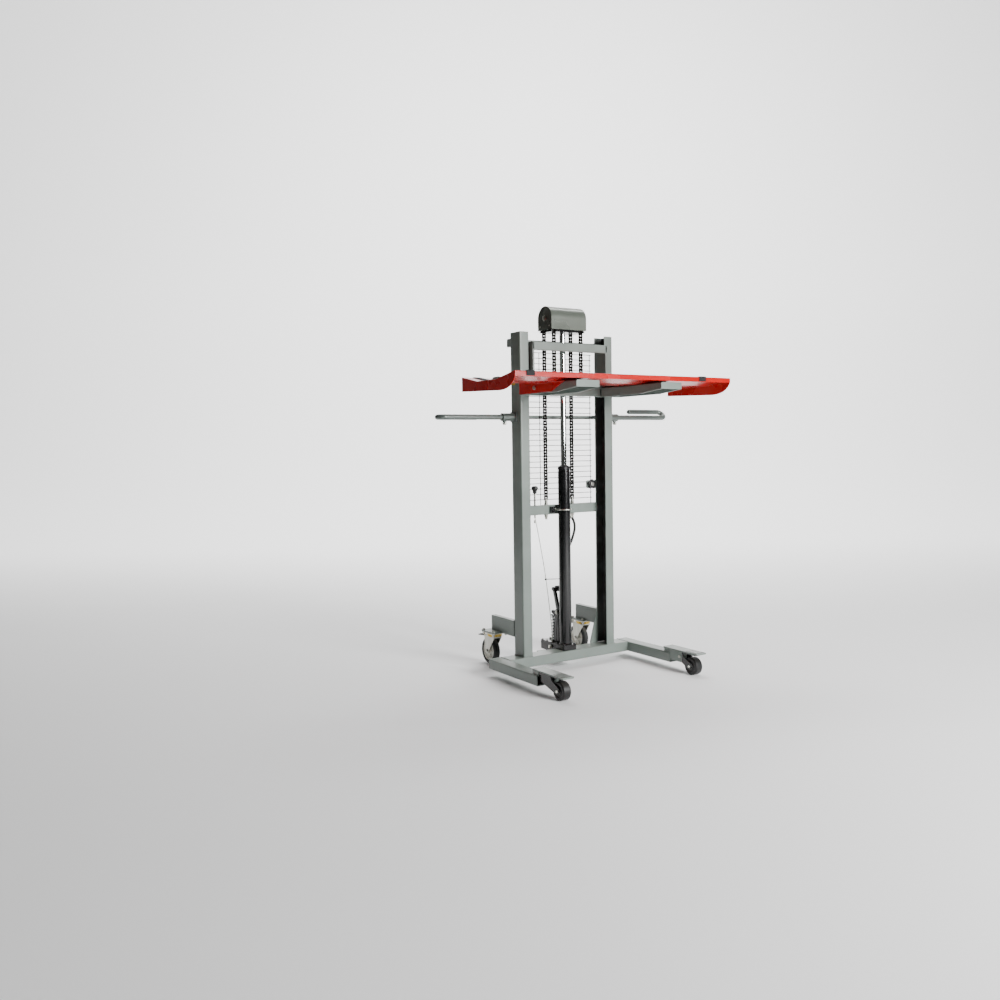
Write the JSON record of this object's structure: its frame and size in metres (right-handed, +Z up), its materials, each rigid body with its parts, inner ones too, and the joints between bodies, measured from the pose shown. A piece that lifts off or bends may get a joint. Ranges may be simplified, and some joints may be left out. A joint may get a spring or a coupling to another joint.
{
  "type": "roll lifter",
  "caption": "Portable hydraulic roll lifter: foot pump, ram and chains raise two forks and a cradle between channel masts on wheels.",
  "frame": {"origin": "on the floor, at the middle of the machine's width and length", "axes": "+Z up; -Y is the front, where the forks point; +X is the operator's right seen from the front, across the masts"},
  "size_m": [1.24, 0.811, 1.589],
  "materials": {
    "frame_grey": "satin powder coat",
    "cradle_red": "gloss powder coat",
    "satin_black": "satin",
    "zinc_plate": "zinc plated",
    "roller_steel": "turned and oiled",
    "chrome_rod": "polished",
    "chain_black": "oiled black",
    "guard_wire": "satin",
    "hose_rubber": "matt",
    "cable_steel": "stranded",
    "knob_plastic": "moulded",
    "front_wheel": "matt",
    "caster_tyre": "matt",
    "strap_webbing": "woven webbing"
  },
  "bodies": {
    "frame": {"base_beam": "frame_grey", "leg_left": "frame_grey", "leg_right": "frame_grey", "mast_left": "frame_grey", "mast_right": "frame_grey", "mid_crossbeam": "frame_grey", "top_tie": "frame_grey", "cross_tube": "frame_grey", "chain_anchor_left": "zinc_plate", "chain_anchor_right": "zinc_plate", "wire_guard": "guard_wire", "cylinder_foot": "satin_black", "cylinder_tube": "satin_black", "cylinder_gland": "satin_black", "cylinder_clamp": "zinc_plate", "pump_body": "satin_black", "hydraulic_hose": "hose_rubber", "release_cable": "cable_steel", "handle_socket_left": "frame_grey", "handle_socket_right": "frame_grey", "front_plate_left": "frame_grey", "front_plate_right": "frame_grey", "front_fork_left": "satin_black", "front_fork_right": "satin_black", "caster_arm_left": "frame_grey", "caster_arm_right": "frame_grey", "caster_plate_left": "zinc_plate", "caster_plate_right": "zinc_plate"},
    "ram": {"piston_rod": "chrome_rod", "crosshead": "satin_black", "pulley_axle": "zinc_plate", "pulley_cover": "frame_grey", "chain_left": "chain_black", "chain_right": "chain_black"},
    "carriage": {"carriage_frame": "frame_grey", "fork_left": "frame_grey", "fork_right": "frame_grey", "cradle": "cradle_red", "strap_left": "strap_webbing", "strap_right": "strap_webbing"},
    "foot_lever": {"foot_lever": "satin_black"},
    "pump_plunger": {"pump_plunger": "chrome_rod"},
    "release_knob": {"release_knob": "knob_plastic"},
    "star_knob": {"star_knob": "knob_plastic"},
    "pulley_left": {"pulley_left": "roller_steel"},
    "roller_lower_left": {"roller_lower_left": "roller_steel"},
    "roller_upper_left": {"roller_upper_left": "roller_steel"},
    "pulley_right": {"pulley_right": "roller_steel"},
    "roller_lower_right": {"roller_lower_right": "roller_steel"},
    "roller_upper_right": {"roller_upper_right": "roller_steel"},
    "handle_left": {"handle_left": "frame_grey"},
    "front_wheel_left": {"front_wheel_left": "front_wheel"},
    "caster_left": {"caster_fork_left": "zinc_plate"},
    "caster_wheel_left": {"caster_wheel_left": "caster_tyre"},
    "brake_pedal_left": {"brake_pedal_left": "satin_black"},
    "handle_right": {"handle_right": "frame_grey"},
    "front_wheel_right": {"front_wheel_right": "front_wheel"},
    "caster_right": {"caster_fork_right": "zinc_plate"},
    "caster_wheel_right": {"caster_wheel_right": "caster_tyre"},
    "brake_pedal_right": {"brake_pedal_right": "satin_black"}
  },
  "joints": [
    {"name": "ram_slide", "type": "slide", "parent": "frame", "child": "ram", "axis": [0, 0, 1], "range_m": [-0.54, 0.01], "deforming": ["chain_left", "chain_right"]},
    {"name": "carriage_slide", "type": "slide", "parent": "ram", "child": "carriage", "axis": [0, 0, 1], "range_m": [-0.545, 0.015]},
    {"name": "pulley_left_spin", "type": "hinge", "parent": "ram", "child": "pulley_left", "pos_m": [-0.072, 0.0875, 1.537], "axis": [1, 0, 0], "range_deg": [-20, 840]},
    {"name": "roller_lower_left_spin", "type": "hinge", "parent": "carriage", "child": "roller_lower_left", "pos_m": [-0.223, 0.0875, 1.232], "axis": [1, 0, 0], "range_deg": [-40, 1960]},
    {"name": "roller_upper_left_spin", "type": "hinge", "parent": "carriage", "child": "roller_upper_left", "pos_m": [-0.223, 0.0875, 1.394], "axis": [1, 0, 0], "range_deg": [-1960, 40]},
    {"name": "pulley_right_spin", "type": "hinge", "parent": "ram", "child": "pulley_right", "pos_m": [0.072, 0.0875, 1.537], "axis": [1, 0, 0], "range_deg": [-20, 840]},
    {"name": "roller_lower_right_spin", "type": "hinge", "parent": "carriage", "child": "roller_lower_right", "pos_m": [0.223, 0.0875, 1.232], "axis": [1, 0, 0], "range_deg": [-40, 1960]},
    {"name": "roller_upper_right_spin", "type": "hinge", "parent": "carriage", "child": "roller_upper_right", "pos_m": [0.223, 0.0875, 1.394], "axis": [1, 0, 0], "range_deg": [-1960, 40]},
    {"name": "foot_lever_hinge", "type": "hinge", "parent": "frame", "child": "foot_lever", "pos_m": [0, 0.1375, 0.236], "axis": [1, 0, 0], "range_deg": [-30, 0], "stiffness_Nm_per_rad": 6, "springref_deg": 20.05},
    {"name": "plunger_slide", "type": "slide", "parent": "frame", "child": "pump_plunger", "axis": [0, 0, 1], "range_m": [-0.0225, 0.001]},
    {"name": "release_pull", "type": "slide", "parent": "frame", "child": "release_knob", "axis": [0, 0, 1], "range_m": [0, 0.012], "stiffness_N_per_m": 500, "springref_m": -0.015},
    {"name": "star_knob_turn", "type": "hinge", "parent": "frame", "child": "star_knob", "pos_m": [0.178, 0.1225, 0.808], "axis": [0, 1, 0], "continuous": true},
    {"name": "handle_left_swivel", "type": "hinge", "parent": "frame", "child": "handle_left", "pos_m": [-0.43, 0.0995, 1.11], "axis": [1, 0, 0], "range_deg": [-90, 90]},
    {"name": "front_wheel_left_spin", "type": "hinge", "parent": "frame", "child": "front_wheel_left", "pos_m": [-0.347, -0.358, 0.0375], "axis": [1, 0, 0], "continuous": true},
    {"name": "caster_left_swivel", "type": "hinge", "parent": "frame", "child": "caster_left", "pos_m": [-0.25, 0.2855, 0.134], "axis": [0, 0, 1], "continuous": true},
    {"name": "caster_wheel_left_spin", "type": "hinge", "parent": "caster_left", "child": "caster_wheel_left", "pos_m": [-0.25, 0.3215, 0.0625], "axis": [1, 0, 0], "continuous": true},
    {"name": "brake_left_hinge", "type": "hinge", "parent": "caster_left", "child": "brake_pedal_left", "pos_m": [-0.25, 0.3375, 0.134], "axis": [1, 0, 0], "range_deg": [-8, 0]},
    {"name": "handle_right_swivel", "type": "hinge", "parent": "frame", "child": "handle_right", "pos_m": [0.43, 0.0995, 1.11], "axis": [1, 0, 0], "range_deg": [-130, 50]},
    {"name": "front_wheel_right_spin", "type": "hinge", "parent": "frame", "child": "front_wheel_right", "pos_m": [0.347, -0.358, 0.0375], "axis": [1, 0, 0], "continuous": true},
    {"name": "caster_right_swivel", "type": "hinge", "parent": "frame", "child": "caster_right", "pos_m": [0.25, 0.2855, 0.134], "axis": [0, 0, 1], "continuous": true},
    {"name": "caster_wheel_right_spin", "type": "hinge", "parent": "caster_right", "child": "caster_wheel_right", "pos_m": [0.25, 0.3215, 0.0625], "axis": [1, 0, 0], "continuous": true},
    {"name": "brake_right_hinge", "type": "hinge", "parent": "caster_right", "child": "brake_pedal_right", "pos_m": [0.25, 0.3375, 0.134], "axis": [1, 0, 0], "range_deg": [-8, 0]}
  ],
  "couplings": [
    {"joint": "carriage_slide", "follows": "ram_slide", "ratio": 1},
    {"joint": "pulley_left_spin", "follows": "ram_slide", "rad_per_m": -27.027},
    {"joint": "roller_lower_left_spin", "follows": "ram_slide", "rad_per_m": -62.5},
    {"joint": "roller_upper_left_spin", "follows": "ram_slide", "rad_per_m": 62.5},
    {"joint": "pulley_right_spin", "follows": "ram_slide", "rad_per_m": -27.027},
    {"joint": "roller_lower_right_spin", "follows": "ram_slide", "rad_per_m": -62.5},
    {"joint": "roller_upper_right_spin", "follows": "ram_slide", "rad_per_m": 62.5},
    {"joint": "plunger_slide", "follows": "foot_lever_hinge", "m_per_rad": 0.042}
  ]
}
